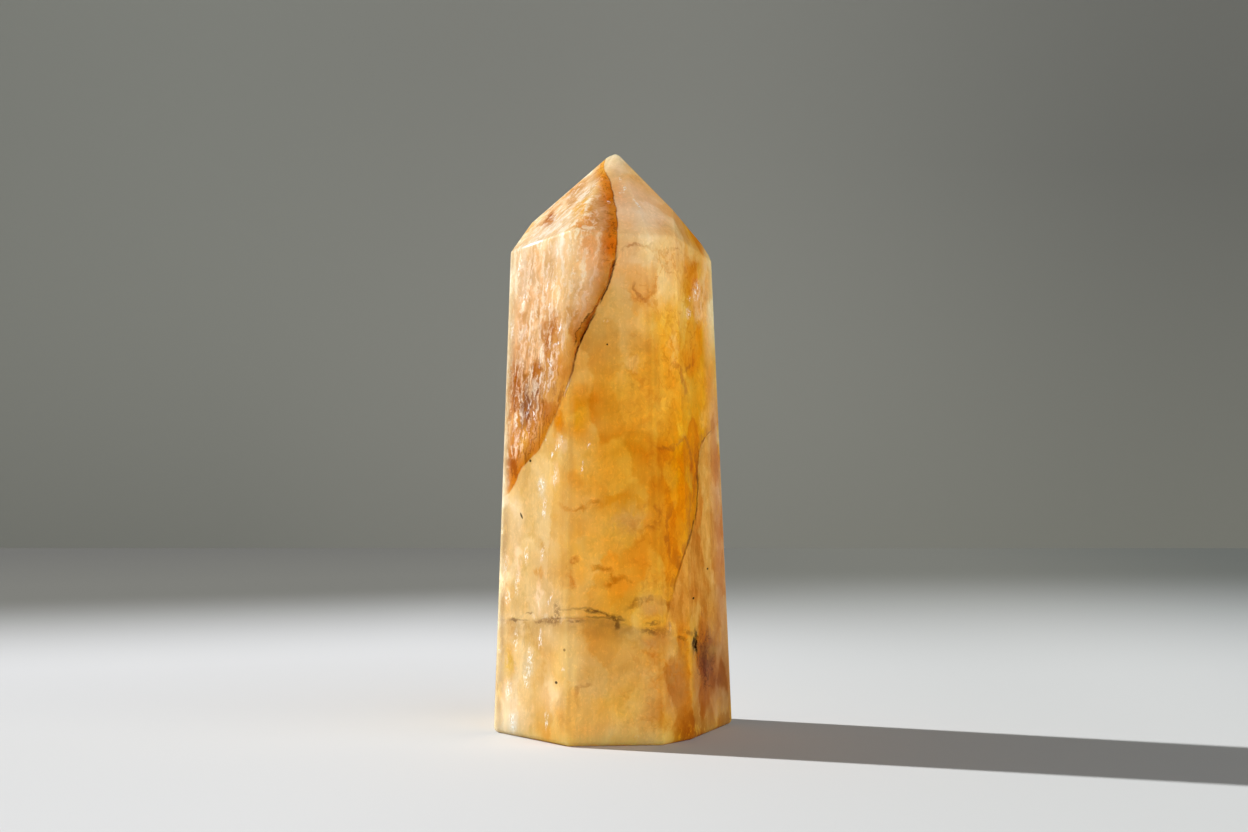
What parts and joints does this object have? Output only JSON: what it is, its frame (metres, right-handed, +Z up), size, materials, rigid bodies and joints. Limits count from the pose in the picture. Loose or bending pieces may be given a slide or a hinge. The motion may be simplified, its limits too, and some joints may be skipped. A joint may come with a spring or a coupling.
{
  "type": "golden healer quartz point",
  "caption": "Hand-polished quartz tower with a faceted tip, golden and iron-stained inside, that stands on a sawn flat base as an ornament.",
  "frame": {"origin": "middle of the bounding box at the level of the flat base that the stone stands on", "axes": "+Z up along the tower to its tip, -Y the front with the open fracture, +X to the right seen from the front"},
  "size_m": [0.0416, 0.0368, 0.1004],
  "materials": {
    "golden_quartz": "polished, translucent"
  },
  "bodies": {
    "root": {"quartz_point": "golden_quartz"}
  },
  "joints": []
}
